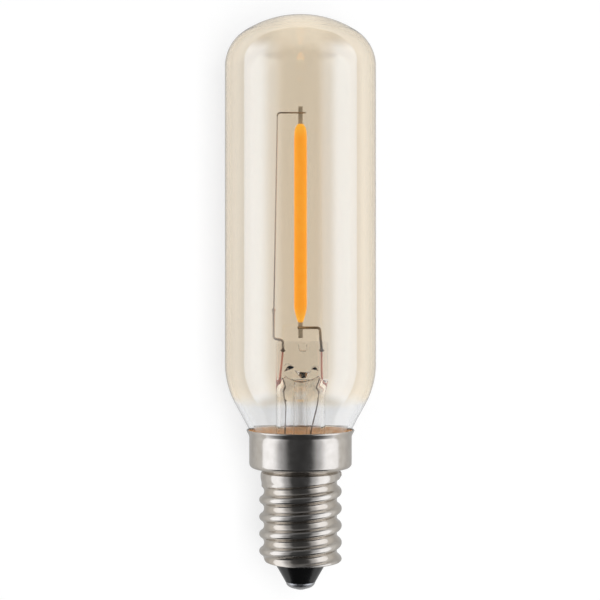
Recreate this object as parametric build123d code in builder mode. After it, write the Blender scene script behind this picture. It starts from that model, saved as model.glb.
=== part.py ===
from build123d import *
import os
from math import asin, atan2, cos, degrees, radians, sin, sqrt, tan

# A small tubular LED filament lamp with an Edison screw cap, in millimetres.
# The origin is the lowest point of the centre contact, on the lamp's axis. +Z points to the crown,
# and the filament hangs between wires that spread along X.

# Glass envelope
overall_length = 95.0
bulb_d = 25.0
glass_wall = 0.7
crown_height = 8.4
crown_corner_r = 6.2
shoulder_r = 14.0
shoulder_angle = 28.5
neck_length = 2.4

# Screw shell of the cap
thread_major_d = 13.7
thread_minor_d = 12.1
thread_pitch = 2.822
thread_length = 15.5
thread_phase = 3.15
crest_width = 0.75
flank_angle = 59.0
shell_wall = 0.25
foot_chamfer = 0.8
lip_hole_d = 8.9
collar_d = 17.0
collar_height = 6.35
collar_chamfer = 0.4
rim_d = 17.9
rim_flare = 0.9
rim_lip = 0.3

# Fits of the glass, the cement and the cap
cement_gap = 0.95
cement_depth = 0.5
cement_skirt = 0.9
rim_gap = 0.22
fit_gap = 0.05

# Insulator and centre contact
nose_height = 4.6
insulator_flange = 2.5
insulator_bore_d = 1.5
nose_rim = 0.1
contact_d = 4.9
contact_rise = 1.1
contact_wall = 0.35
contact_dish_r = 3.4
eyelet_d = 1.2
solder_d = 1.8

# Stem: flared tube with a flat press, and the exhaust tube inside it
stem_d = 8.2
stem_wall = 0.65
flare_angle = 45.0
stem_height = 19.12
press_width = 8.6
press_thickness = 2.8
press_height = 3.6
press_chamfer = 0.8
pinch_height = 3.6
cavity_drop = 4.9
exhaust_d = 2.6
exhaust_bore = 1.5
exhaust_length = 15.2
exhaust_tip = 0.8
blow_hole_d = 1.4
blow_hole_drop = 4.2

# Wires of the mount
mount_shift = 0.23
knot_spread = 6.5
knot_depth = 1.45
knot_d = 0.72
knot_height = 0.42
seal_spread = 6.3
seal_wire_d = 0.36
seal_wire_drop = 7.4
left_support_d = 0.38
left_support_x = 4.45
left_support_rise = 0.5
left_support_height = 5.4
right_support_d = 0.4
right_support_lean = 0.26
right_support_height = 2.3
right_support_reach = 0.5
upper_lead_d = 0.28
upper_lead_lap = 1.7
upper_lead_lean = 0.62
upper_lead_reach = 0.85
wire_bend_r = 0.6
outer_lead_d = 0.26
outer_lead_drop = 3.2
left_lead_waist = 2.4
right_lead_waist = 2.8
left_pad_x = 2.8
right_pad_x = 1.6
pad_rise = 1.0

# Filament
phosphor_length = 32.9
phosphor_d = 2.1
phosphor_end_d = 0.9
phosphor_taper = 2.8
terminal_width = 0.75
terminal_thickness = 0.25
terminal_grip = 0.5
lower_terminal_length = 2.6
lower_terminal_tail = 1.7
upper_terminal_length = 2.94
upper_terminal_tail = 1.1
substrate_width = 0.9
substrate_thickness = 0.4
chip_width = 0.55
chip_length = 0.9
chip_thickness = 0.12
chip_pitch = 1.15

# Driver inside the cap
board_width = 9.0
board_height = 10.4
board_thickness = 0.8
board_gap = 1.5
rectifier_width = 4.7
rectifier_height = 3.8
rectifier_thickness = 1.5
driver_chip_width = 3.0
driver_chip_height = 2.9
driver_chip_thickness = 1.1
leg_width = 0.5
leg_length = 0.8
leg_thickness = 0.2
capacitor_length = 8.0
capacitor_groove = 0.25
capacitor_pitch = 1.6
part_gap = 0.2
resistor_d = 2.2
resistor_length = 5.6
resistor_waist = 0.15
driver_wire_d = 0.4
neutral_pad_x = 3.4
neutral_angle = 50.0

# Cap heights and radii
foot_z = nose_height
collar_z = foot_z + thread_length
rim_z = collar_z + collar_height
bore_r = thread_minor_d / 2 - shell_wall
collar_bore_r = collar_d / 2 - shell_wall
rim_bore_r = rim_d / 2 - shell_wall
floor_z = collar_z + shell_wall
flare_foot_z = rim_z - rim_lip - rim_flare
flare_lean = degrees(atan2((rim_d - collar_d) / 2, rim_flare))

# The neck leaves room for cement inside the collar, and the cone passes just inside the rim
neck_r = collar_bore_r - cement_gap
neck_bore_r = neck_r - glass_wall
cone_slope = tan(radians(shoulder_angle))
neck_top_z = rim_z - (rim_bore_r - rim_gap - neck_r) / cone_slope
seal_z = neck_top_z - neck_length
cone_top_r = bulb_d / 2 - shoulder_r * (1 - cos(radians(shoulder_angle)))
cone_top_z = neck_top_z + (cone_top_r - neck_r) / cone_slope
shoulder_z = cone_top_z + shoulder_r * sin(radians(shoulder_angle))

# The crown is a flat arc over the axis that runs into a tighter arc at its corner
crown_run = bulb_d / 2 - crown_corner_r
crown_r = (crown_run**2 + crown_height**2 - crown_corner_r**2) / (2 * (crown_height - crown_corner_r))
crown_angle = degrees(asin(crown_run / (crown_r - crown_corner_r)))

# Stem heights
stem_r = stem_d / 2
press_z = seal_z + stem_height
waist_z = press_z - press_height
pinch_z = waist_z - pinch_height
flare_z = seal_z + (neck_bore_r - stem_r) / tan(radians(flare_angle))
cavity_z = press_z - cavity_drop
blow_hole_z = press_z - blow_hole_drop
exhaust_tip_z = cavity_z - exhaust_length

# Wire planes, from front to back, and heights of the filament
knot_z = press_z - knot_depth
left_knot_x = mount_shift - knot_spread / 2
right_knot_x = mount_shift + knot_spread / 2
seal_end_z = press_z - seal_wire_drop
terminal_face_y = right_support_d / 2
filament_y = terminal_face_y + terminal_thickness / 2
upper_lead_y = terminal_face_y - upper_lead_d / 2
left_support_y = upper_lead_y - (upper_lead_d + left_support_d) / 2
left_support_z = press_z + left_support_height
lower_wire_z = press_z + right_support_height
terminal_z = lower_wire_z - lower_terminal_tail
phosphor_z = terminal_z + lower_terminal_length
phosphor_top_z = phosphor_z + phosphor_length
terminal_top_z = phosphor_top_z + upper_terminal_length
upper_wire_z = terminal_top_z - upper_terminal_tail

# Driver heights
flange_z = foot_z + shell_wall
board_z = flange_z + insulator_flange + board_gap
board_top_z = board_z + board_height
board_y = resistor_d / 2
board_back_y = board_y + board_thickness
resistor_z = board_z + board_gap
resistor_top_z = resistor_z + resistor_length
lead_pad_z = board_top_z - leg_length
pad_y = board_y - outer_lead_d / 2

# The capacitor fills the room between the resistor, the board and the shell
capacitor_d = bore_r - resistor_d / 2 - 2 * part_gap
capacitor_reach = (resistor_d + capacitor_d) / 2 + part_gap
capacitor_y = board_y - part_gap - capacitor_d / 2
capacitor_x = -sqrt(capacitor_reach**2 - capacitor_y**2)

# Dish of the centre contact, a ball surface about a point on the axis
dish_centre_z = contact_rise + sqrt(contact_dish_r**2 - (contact_d / 2) ** 2)
dish_edge = degrees(asin(contact_d / 2 / contact_dish_r))
dish_eyelet = degrees(asin(eyelet_d / 2 / contact_dish_r))
dish_back_r = contact_dish_r - contact_wall


def envelope_outline():
    """Half outline of the glass from the crown down to the seal."""
    crown = JernArc((0, overall_length), (1, 0), crown_r, -crown_angle)
    corner = JernArc(crown @ 1, crown % 1, crown_corner_r, crown_angle - 90)
    side = Line(corner @ 1, (bulb_d / 2, shoulder_z))
    JernArc(side @ 1, (0, -1), shoulder_r, -shoulder_angle)
    Polyline((cone_top_r, cone_top_z), (neck_r, neck_top_z), (neck_r, seal_z))


def collar_outline():
    """Half outline of the collar, from the top of the thread out and up to the rim."""
    return Polyline(
        (thread_minor_d / 2, collar_z),
        (collar_d / 2 - collar_chamfer, collar_z),
        (collar_d / 2, collar_z + collar_chamfer),
        (collar_d / 2, flare_foot_z),
        (rim_d / 2, rim_z - rim_lip),
        (rim_d / 2, rim_z),
    )


def stem_body(inset):
    """The stem's outer form, or with an inset the hollow inside it: a flared tube, pinched flat at its top."""
    press_r = press_width / 2 - inset
    flare_inset = inset * tan(radians(flare_angle / 2))
    rim_face_z = seal_z - inset
    base_z = rim_face_z - stem_wall
    waist_y = press_thickness / 2 - inset
    scoop_run = stem_r - press_thickness / 2
    scoop_r = (scoop_run**2 + pinch_height**2) / (2 * scoop_run)
    scoop_angle = degrees(asin(pinch_height / scoop_r))
    with BuildPart() as body:
        with BuildSketch(Plane.XZ):
            with BuildLine():
                Polyline(
                    (0, press_z),
                    (press_r - press_chamfer, press_z),
                    (press_r, press_z - press_chamfer),
                    (press_r, waist_z),
                    (stem_r - inset, pinch_z),
                    (stem_r - inset, flare_z - flare_inset),
                    (neck_bore_r - flare_inset, rim_face_z),
                    (neck_r, rim_face_z),
                    (neck_r, base_z),
                    (0, base_z),
                    close=True,
                )
            make_face()
        revolve(axis=Axis.Z)
        with BuildSketch(Plane.YZ):
            with BuildLine():
                face = Line((waist_y, press_z), (waist_y, waist_z))
                scoop = JernArc(face @ 1, (0, -1), scoop_r + inset, scoop_angle)
                Polyline(scoop @ 1, (stem_d, (scoop @ 1).Y), (stem_d, press_z), face @ 0)
            make_face()
            mirror(about=Plane.YZ)
        extrude(amount=press_width, both=True, mode=Mode.SUBTRACT)
    return body.part


def bent_wire(label, diameter, points, bend_r=0.0, knot=False):
    """Round wire along straight runs, with a weld knot on its first end where one is asked for."""
    with BuildPart() as wire:
        with BuildLine() as route:
            if bend_r:
                FilletPolyline(*points, radius=bend_r)
            else:
                Polyline(*points)
        level_end = Plane(points[0], z_dir=(0, 0, points[1][2] - points[0][2]))
        with BuildSketch(level_end):
            Circle(diameter / 2)
        sweep(path=route.line, transition=Transition.RIGHT)
        if knot:
            with BuildSketch(level_end):
                Circle(knot_d / 2)
            extrude(amount=knot_height)
    wire.part.label = label
    return wire


def strip(label, width, thickness, low_z, high_z):
    """Flat upright strip on the filament's axis."""
    with BuildPart() as piece:
        with BuildSketch(Plane.XY.offset(low_z)):
            with Locations((0, filament_y)):
                Rectangle(width, thickness)
        extrude(amount=high_z - low_z)
    piece.part.label = label
    return piece


def board_package(label, width, height, thickness, centre_z):
    """Moulded package on the back of the board, with two legs on each side."""
    with BuildPart() as package:
        with BuildSketch(Plane.XZ.offset(-board_back_y)):
            with Locations((0, centre_z)):
                Rectangle(width, height)
        extrude(amount=-thickness)
        with BuildSketch(Plane.XZ.offset(-board_back_y)):
            with Locations((0, centre_z)):
                with GridLocations(width + leg_length, height / 2, 2, 2):
                    Rectangle(leg_length, leg_width)
        extrude(amount=-leg_thickness)
    package.part.label = label
    return package


# Glass envelope: one blown wall of even thickness
with BuildPart() as glass_envelope:
    with BuildSketch(Plane.XZ):
        with BuildLine():
            envelope_outline()
            offset(amount=glass_wall, side=Side.RIGHT, kind=Kind.INTERSECTION)
        make_face()
    revolve(axis=Axis.Z)
glass_envelope.part.label = "glass_envelope"

# Screw shell: a helical ridge on a round core, cut level, with foot and collar, hollowed to an even wall
with BuildPart() as cap_shell:
    crest_r = thread_major_d / 2
    root_r = bore_r - shell_wall
    ridge_half = crest_width / 2 + (crest_r - root_r) / tan(radians(flank_angle))
    ridge_z = foot_z + thread_phase - 2 * thread_pitch
    ridge_height = collar_z - ridge_z + thread_pitch
    with BuildLine() as helix:
        Helix(thread_pitch, ridge_height, crest_r, center=(0, 0, ridge_z))
    with BuildSketch(Plane.XZ):
        with BuildLine():
            Polyline(
                (root_r, ridge_z - ridge_half),
                (crest_r, ridge_z - crest_width / 2),
                (crest_r, ridge_z + crest_width / 2),
                (root_r, ridge_z + ridge_half),
                close=True,
            )
        make_face()
    sweep(path=helix.line, is_frenet=True)
    with BuildSketch(Plane.XY.offset(ridge_z - thread_pitch)):
        Circle(thread_minor_d / 2)
    extrude(amount=ridge_height + 2 * thread_pitch)
    split(bisect_by=Plane.XY.offset(collar_z), keep=Keep.BOTTOM)
    split(bisect_by=Plane.XY.offset(foot_z), keep=Keep.TOP)
    with BuildSketch(Plane.XZ):
        with BuildLine():
            foot_reach = crest_r - thread_minor_d / 2 + foot_chamfer
            Polyline(
                (thread_minor_d / 2 - foot_chamfer, foot_z),
                (crest_r + fit_gap, foot_z),
                (crest_r + fit_gap, foot_z + foot_reach + fit_gap),
                close=True,
            )
        make_face()
    revolve(axis=Axis.Z, mode=Mode.SUBTRACT)
    with BuildSketch(Plane.XZ):
        with BuildLine():
            collar = collar_outline()
            Polyline(collar @ 1, (0, rim_z), (0, collar_z), collar @ 0)
        make_face()
    revolve(axis=Axis.Z)
    with BuildSketch(Plane.XZ):
        with BuildLine():
            Polyline(
                (lip_hole_d / 2, foot_z),
                (thread_minor_d / 2 - foot_chamfer, foot_z),
                (thread_minor_d / 2, foot_z + foot_chamfer),
                (thread_minor_d / 2, collar_z),
            )
            collar_outline()
            offset(amount=shell_wall, side=Side.LEFT, kind=Kind.INTERSECTION, closed=False)
            Polyline((lip_hole_d / 2, flange_z), (0, flange_z), (0, rim_z), (rim_bore_r, rim_z))
        make_face()
    revolve(axis=Axis.Z, mode=Mode.SUBTRACT)
    with BuildSketch(Plane.XY.offset(foot_z)):
        Circle(lip_hole_d / 2)
    extrude(amount=shell_wall, mode=Mode.SUBTRACT)
cap_shell.part.label = "cap_shell"

# Cement between the neck of the glass and the collar
with BuildPart() as basing_cement:
    with BuildSketch(Plane.XZ):
        with BuildLine():
            top_z = rim_z - cement_depth
            bottom_z = seal_z - cement_skirt
            bend_z = flare_foot_z + shell_wall * tan(radians(flare_lean / 2))
            Polyline(
                (neck_r, bottom_z),
                (collar_bore_r, bottom_z),
                (collar_bore_r, bend_z),
                (collar_bore_r + (top_z - bend_z) * tan(radians(flare_lean)), top_z),
                (neck_r + (top_z - neck_top_z) * cone_slope, top_z),
                (neck_r, neck_top_z),
                close=True,
            )
        make_face()
    revolve(axis=Axis.Z)
basing_cement.part.label = "basing_cement"

# Centre contact: a dished plate with an eyelet
with BuildPart() as centre_contact:
    with BuildSketch(Plane.XZ):
        with BuildLine():
            CenterArc((0, dish_centre_z), contact_dish_r, dish_eyelet - 90, dish_edge - dish_eyelet)
            offset(amount=contact_wall, side=Side.LEFT)
        make_face()
    revolve(axis=Axis.Z)
centre_contact.part.label = "centre_contact"

# Solder that fills the eyelet and makes the lamp's lowest face
with BuildPart() as contact_solder:
    eyelet_top_z = dish_centre_z - dish_back_r * cos(radians(dish_eyelet))
    with BuildSketch(Plane.XY):
        Circle(solder_d / 2)
    extrude(amount=eyelet_top_z)
    add(centre_contact.part, mode=Mode.SUBTRACT)
contact_solder.part.label = "contact_solder"

# Black insulator: a nose that passes the lip, and a flange that sits inside the shell
with BuildPart() as cap_insulator:
    nose_r = lip_hole_d / 2 - fit_gap
    flange_r = bore_r - fit_gap
    hole_r = insulator_bore_d / 2
    dish_bore = degrees(asin(hole_r / dish_back_r))
    flange_top_z = flange_z + insulator_flange
    with BuildSketch(Plane.XZ):
        with BuildLine():
            dish = CenterArc((0, dish_centre_z), dish_back_r, dish_bore - 90, dish_edge - dish_bore)
            Polyline(
                dish @ 1,
                (contact_d / 2, contact_rise),
                (contact_d / 2 + nose_rim, contact_rise),
                (nose_r, foot_z),
                (nose_r, flange_z),
                (flange_r - foot_chamfer, flange_z),
                (flange_r, flange_z + foot_chamfer),
                (flange_r, flange_top_z),
                (hole_r, flange_top_z),
                dish @ 0,
            )
        make_face()
    revolve(axis=Axis.Z)
cap_insulator.part.label = "cap_insulator"

# Wires sealed in the press, and the stiff supports welded to them
left_seal_wire = bent_wire(
    "left_seal_wire",
    seal_wire_d,
    [(left_knot_x, 0, knot_z), (-seal_spread / 2, 0, seal_end_z)],
)
right_seal_wire = bent_wire(
    "right_seal_wire",
    seal_wire_d,
    [(right_knot_x, 0, knot_z), (seal_spread / 2, 0, seal_end_z)],
)
left_support_wire = bent_wire(
    "left_support_wire",
    left_support_d,
    [
        (left_knot_x, 0, knot_z),
        (left_knot_x, 0, press_z + left_support_rise / 2),
        (-left_support_x, left_support_y, press_z + left_support_rise),
        (-left_support_x, left_support_y, left_support_z),
    ],
    knot=True,
)
right_support_wire = bent_wire(
    "right_support_wire",
    right_support_d,
    [
        (right_knot_x, 0, knot_z),
        (right_knot_x - right_support_lean, 0, lower_wire_z),
        (-right_support_reach, 0, lower_wire_z),
    ],
    bend_r=wire_bend_r,
    knot=True,
)

# Thin wire, welded beside the left support, that carries the upper end of the filament
upper_lead_wire = bent_wire(
    "upper_lead_wire",
    upper_lead_d,
    [
        (-left_support_x, upper_lead_y, left_support_z - upper_lead_lap),
        (upper_lead_lean - left_support_x, upper_lead_y, upper_wire_z),
        (upper_lead_reach, upper_lead_y, upper_wire_z),
    ],
    bend_r=wire_bend_r,
)

# Leads that go down inside the stem and along the face of the driver board
left_outer_lead = bent_wire(
    "left_outer_lead",
    outer_lead_d,
    [
        (-left_pad_x, pad_y, lead_pad_z),
        (-left_pad_x, pad_y, board_top_z + pad_rise),
        (-left_lead_waist, 0, seal_end_z - outer_lead_drop),
        (-seal_spread / 2, 0, seal_end_z),
    ],
)
right_outer_lead = bent_wire(
    "right_outer_lead",
    outer_lead_d,
    [
        (right_pad_x, pad_y, lead_pad_z),
        (right_pad_x, pad_y, board_top_z + pad_rise),
        (right_lead_waist, 0, seal_end_z - outer_lead_drop),
        (seal_spread / 2, 0, seal_end_z),
    ],
)

# Exhaust tube, tipped off below the stem
with BuildPart() as exhaust_tube:
    with BuildSketch(Plane.XZ):
        with BuildLine():
            Polyline(
                (exhaust_bore / 2, cavity_z),
                (exhaust_d / 2, cavity_z),
                (exhaust_d / 2, exhaust_tip_z + exhaust_tip),
                (exhaust_bore / 2, exhaust_tip_z),
                (0, exhaust_tip_z),
                (0, exhaust_tip_z + exhaust_tip),
                (exhaust_bore / 2, exhaust_tip_z + 2 * exhaust_tip),
                close=True,
            )
        make_face()
    revolve(axis=Axis.Z)
exhaust_tube.part.label = "exhaust_tube"

# Hollow of the stem, closed by the press
with BuildPart() as stem_hollow:
    add(stem_body(stem_wall))
    split(bisect_by=Plane.XY.offset(cavity_z), keep=Keep.BOTTOM)

# Glass stem, sealed to the neck, with the wires and the exhaust tube melted into its press
with BuildPart() as stem_flare:
    add(stem_body(0))
    add(stem_hollow.part, mode=Mode.SUBTRACT)
    with BuildSketch(Plane.XY.offset(exhaust_tip_z)):
        Circle(exhaust_d / 2)
    extrude(amount=cavity_z - exhaust_tip_z, mode=Mode.SUBTRACT)
    with BuildSketch(Plane.XY.offset(cavity_z)):
        Circle(exhaust_bore / 2)
    extrude(amount=blow_hole_z + blow_hole_d / 4 - cavity_z, mode=Mode.SUBTRACT)
    with BuildSketch(Plane.XZ):
        with Locations((0, blow_hole_z)):
            Circle(blow_hole_d / 2)
    extrude(amount=press_thickness, mode=Mode.SUBTRACT)
    for wire in (left_seal_wire, right_seal_wire, left_support_wire, right_support_wire):
        add(wire.part, mode=Mode.SUBTRACT)
stem_flare.part.label = "stem_flare"

# Filament: end strips, substrate and chips inside a phosphor coat with tapered ends
lower_terminal = strip(
    "lower_terminal", terminal_width, terminal_thickness, terminal_z, phosphor_z + terminal_grip
)
upper_terminal = strip(
    "upper_terminal", terminal_width, terminal_thickness, phosphor_top_z - terminal_grip, terminal_top_z
)
filament_substrate = strip(
    "filament_substrate",
    substrate_width,
    substrate_thickness,
    phosphor_z + terminal_grip,
    phosphor_top_z - terminal_grip,
)
with BuildPart() as led_chips:
    chip_count = int((phosphor_length - 2 * phosphor_taper) / chip_pitch)
    with BuildSketch(Plane.XZ.offset(substrate_thickness / 2 - filament_y)):
        with Locations((0, phosphor_z + phosphor_length / 2)):
            with GridLocations(chip_pitch, chip_pitch, 1, chip_count):
                Rectangle(chip_width, chip_length)
    extrude(amount=chip_thickness)
led_chips.part.label = "led_chips"
with BuildPart() as phosphor_coating:
    with BuildSketch(Plane.XZ.offset(-filament_y)):
        with BuildLine():
            Polyline(
                (0, phosphor_z),
                (phosphor_end_d / 2, phosphor_z),
                (phosphor_d / 2, phosphor_z + phosphor_taper),
                (phosphor_d / 2, phosphor_top_z - phosphor_taper),
                (phosphor_end_d / 2, phosphor_top_z),
                (0, phosphor_top_z),
                close=True,
            )
        make_face()
    revolve(axis=Axis((0, filament_y, 0), (0, 0, 1)))
    for core in (lower_terminal, upper_terminal, filament_substrate, led_chips):
        add(core.part, mode=Mode.SUBTRACT)
phosphor_coating.part.label = "phosphor_coating"

# Driver: an upright board behind the axis, with its packages on the back
with BuildPart() as driver_board:
    with BuildSketch(Plane.XZ.offset(-board_y)):
        with Locations((0, board_z + board_height / 2)):
            Rectangle(board_width, board_height)
    extrude(amount=-board_thickness)
driver_board.part.label = "driver_board"
bridge_rectifier = board_package(
    "bridge_rectifier",
    rectifier_width,
    rectifier_height,
    rectifier_thickness,
    board_top_z - board_gap - rectifier_height / 2,
)
driver_chip = board_package(
    "driver_chip",
    driver_chip_width,
    driver_chip_height,
    driver_chip_thickness,
    board_z + board_gap + driver_chip_height / 2,
)

# Fuse resistor on the axis, with its upper lead bent into the board
with BuildPart() as fuse_resistor:
    resistor_r = resistor_d / 2
    cap_length = resistor_length / 5
    with BuildSketch(Plane.XZ):
        with BuildLine():
            Polyline(
                (0, resistor_z),
                (resistor_r, resistor_z),
                (resistor_r, resistor_z + cap_length),
                (resistor_r - resistor_waist, resistor_z + cap_length),
                (resistor_r - resistor_waist, resistor_top_z - cap_length),
                (resistor_r, resistor_top_z - cap_length),
                (resistor_r, resistor_top_z),
                (0, resistor_top_z),
                close=True,
            )
        make_face()
    revolve(axis=Axis.Z)
    with BuildLine() as tail:
        Polyline((0, 0, resistor_top_z), (0, 0, resistor_top_z + pad_rise), (0, board_y, resistor_top_z + pad_rise))
    with BuildSketch(Plane.XY.offset(resistor_top_z)):
        Circle(driver_wire_d / 2)
    sweep(path=tail.line, transition=Transition.RIGHT)
fuse_resistor.part.label = "fuse_resistor"

# Smoothing capacitor beside the resistor, a can with a rolled groove near its foot and legs bent to the board
with BuildPart() as smoothing_capacitor:
    can_r = capacitor_d / 2
    can_z = board_z + leg_length
    groove_z = can_z + capacitor_d / 3
    with BuildSketch(Plane.XZ.offset(-capacitor_y)):
        with BuildLine():
            Polyline(
                (capacitor_x, can_z),
                (capacitor_x + can_r, can_z),
                (capacitor_x + can_r, groove_z - capacitor_groove),
                (capacitor_x + can_r - capacitor_groove, groove_z),
                (capacitor_x + can_r, groove_z + capacitor_groove),
                (capacitor_x + can_r, can_z + capacitor_length),
                (capacitor_x, can_z + capacitor_length),
                close=True,
            )
        make_face()
    revolve(axis=Axis((capacitor_x, capacitor_y, 0), (0, 0, 1)))
    leg_z = can_z - leg_length / 2
    for leg_x in (capacitor_x - capacitor_pitch / 2, capacitor_x + capacitor_pitch / 2):
        with BuildLine() as leg:
            Polyline((leg_x, capacitor_y, can_z), (leg_x, capacitor_y, leg_z), (leg_x, board_y, leg_z))
        with BuildSketch(Plane((leg_x, capacitor_y, can_z), z_dir=(0, 0, -1))):
            Circle(driver_wire_d / 2)
        sweep(path=leg.line, transition=Transition.RIGHT)
smoothing_capacitor.part.label = "smoothing_capacitor"

# Live lead from the solder of the centre contact to the resistor, and neutral lead to the collar's floor
live_lead = bent_wire("live_lead", driver_wire_d, [(0, 0, eyelet_top_z), (0, 0, resistor_z)])
neutral_reach = (bore_r + collar_bore_r) / 2
neutral_y = board_back_y + driver_wire_d / 2
neutral_end_z = floor_z + driver_wire_d / 2
neutral_lead = bent_wire(
    "neutral_lead",
    driver_wire_d,
    [
        (neutral_pad_x, neutral_y, lead_pad_z),
        (neutral_pad_x, neutral_y, neutral_end_z),
        (
            neutral_reach * cos(radians(neutral_angle)),
            neutral_reach * sin(radians(neutral_angle)),
            neutral_end_z,
        ),
    ],
)

pieces = [
    glass_envelope,
    stem_flare,
    exhaust_tube,
    filament_substrate,
    led_chips,
    phosphor_coating,
    upper_terminal,
    lower_terminal,
    upper_lead_wire,
    left_support_wire,
    right_support_wire,
    left_seal_wire,
    right_seal_wire,
    left_outer_lead,
    right_outer_lead,
    basing_cement,
    cap_shell,
    cap_insulator,
    centre_contact,
    contact_solder,
    driver_board,
    bridge_rectifier,
    driver_chip,
    smoothing_capacitor,
    fuse_resistor,
    live_lead,
    neutral_lead,
]
os.makedirs("parts", exist_ok=True)
for piece in pieces:
    export_step(piece.part, f"parts/{piece.part.label}.step")
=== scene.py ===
import math

import bmesh
import bpy
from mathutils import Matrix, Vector


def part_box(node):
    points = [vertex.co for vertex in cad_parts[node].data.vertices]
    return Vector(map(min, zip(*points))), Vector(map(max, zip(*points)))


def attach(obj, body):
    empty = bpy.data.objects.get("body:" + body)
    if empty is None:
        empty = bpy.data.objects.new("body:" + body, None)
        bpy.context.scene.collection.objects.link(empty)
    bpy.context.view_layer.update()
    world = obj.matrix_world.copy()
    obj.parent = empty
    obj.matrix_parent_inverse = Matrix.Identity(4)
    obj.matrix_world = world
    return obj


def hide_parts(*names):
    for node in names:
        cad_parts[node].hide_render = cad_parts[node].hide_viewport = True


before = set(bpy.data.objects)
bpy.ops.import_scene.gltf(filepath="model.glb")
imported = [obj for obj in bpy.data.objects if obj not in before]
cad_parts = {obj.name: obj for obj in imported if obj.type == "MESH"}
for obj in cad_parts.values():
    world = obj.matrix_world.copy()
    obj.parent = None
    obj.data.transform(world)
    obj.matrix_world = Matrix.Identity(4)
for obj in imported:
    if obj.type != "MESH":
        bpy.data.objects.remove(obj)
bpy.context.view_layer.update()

# A tubular LED filament lamp. Its lengths are in millimetres and become metres where meshes are made
MM = 0.001


def span(node):
    """The lowest and highest corner of a node, in millimetres."""
    low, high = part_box(node)
    return low / MM, high / MM


envelope_low, envelope_high = span("glass_envelope")
shell_low, shell_high = span("cap_shell")
phosphor_low, phosphor_high = span("phosphor_coating")
dish_low, dish_high = span("centre_contact")
solder_low, solder_high = span("contact_solder")

# Glass envelope
bulb_r = envelope_high.x
bulb_top = envelope_high.z
seal_z = envelope_low.z
glass_wall = 0.7
crown_height = 8.4
corner_r = 6.6
shoulder_r = 14.0
shoulder_angle = 28.5
shoulder_slope = math.tan(math.radians(shoulder_angle))
neck_r = 7.3
neck_length = 2.4
cone_foot_z = seal_z + neck_length
glass_sides = 224

# Amber coat on the envelope, with the thickness of its film in nanometres
coat_edge_z = 31.2
coat_fade = 1.0
coat_drift = 0.2
film_thickness = 45.0

# Screw shell
thread_length = 15.5
rim_r = shell_high.x
rim_z = shell_high.z
rim_height = 0.3
rim_inset = 0.06
foot_z = shell_low.z
collar_r = 8.5
collar_z = foot_z + thread_length
collar_round = 0.8
flare_z = 25.25
flare_toe_r = 0.12
flare_toe_rise = 0.4
shell_wall = 0.25
shell_turns = 180
bore_r = 5.8
bore_rise = 1.0
lip_r = 4.45
lip_roll = 0.12
foot_round = 0.5
thread_major_r = 6.85
thread_minor_r = 6.05
thread_pitch = 2.822
thread_steps = 150
crest_round = 0.72
root_round = 0.85
crest_z = 7.75
plain_neck_r = 6.63
neck_mid_z = 18.7
neck_reach = 0.9
neck_bulge = 0.2
last_root_z = 17.75
run_out = math.radians(60.0)
groove_z = 19.75
groove_depth = 0.3
groove_width = 0.22
tarnish_deep_r = 6.0
tarnish_clean_r = 6.6

# Black nose, contact dish and solder
nose_fit = 0.05
nose_depth = 0.6
nose_end_r = 2.55
nose_end_z = dish_high.z
nose_round = 0.1
dish_edge_r = dish_high.x
dish_bevel_r = 0.12
dish_bevel_z = 0.1
dish_turn = math.radians(75.0)
drop_r = solder_high.x
drop_top_share = 0.9
drop_round = 0.15

# Basing cement
cement_top = span("basing_cement")[1].z
cement_fit = 0.02
cement_foot_rise = 0.2
cement_shoulder_rise = 0.3
meniscus_rise = 0.25
meniscus_gap = 0.14

# Glass stem, from its flare to the flat press
stem_r = 4.1
stem_wall = 0.65
flare_rim_r = neck_r - glass_wall
flare_height = 2.5
flare_top_z = seal_z + flare_height
pinch_z = 31.6
waist_z = 35.0
press_top = span("stem_flare")[1].z
press_half_width = 4.3
press_half_depth = 1.4
press_corner = 0.5
press_shift = 0.25
press_edge = ((0.6, 0.0), (0.3, 0.0), (0.1, 0.1), (0.0, 0.3))
press_edge_drop = 0.4
press_corner_share = 0.3
cavity_z = 31.8
cavity_top = 34.45
roof_half_width = 2.8
roof_rise = 1.0
roof_round = 0.35
roof_fall = 1.4
roof_fall_start = 2.6
roof_fall_end = 3.6

# Bubbles in the press, as (x, z) points
bubble_y = -0.9
bubble_bend = 0.6
bubble_tip_r = 0.03
upper_bubble = ((-0.3, 40.6), (-0.2, 39.45), (0.96, 39.45), (1.06, 40.6))
left_bubble = ((-2.73, 37.1), (-2.1, 37.45), (-1.0, 36.95))
right_bubble = ((1.73, 36.57), (2.3, 37.1), (3.1, 36.75))
upper_bubble_r = 0.1
side_bubble_r = 0.04
blister_y = -0.5
blister_thickness = 0.02
side_lean = 62.0
middle_lean = 45.0

# Exhaust tube, which ends just below the cavity's roof
tube_r = 1.2
tube_bore_r = 1.03
tube_lip_r = (tube_r - tube_bore_r) / 2.0
tube_foot_z = span("exhaust_tube")[0].z
tube_gap = 0.2
tube_top = cavity_top - tube_gap

# Filament
filament_y = 0.325
phosphor_r = 1.05
phosphor_end_r = 0.4
phosphor_taper = 2.9
phosphor_end_gap = 0.02
phosphor_steps = 60
strip_round = 0.06

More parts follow.
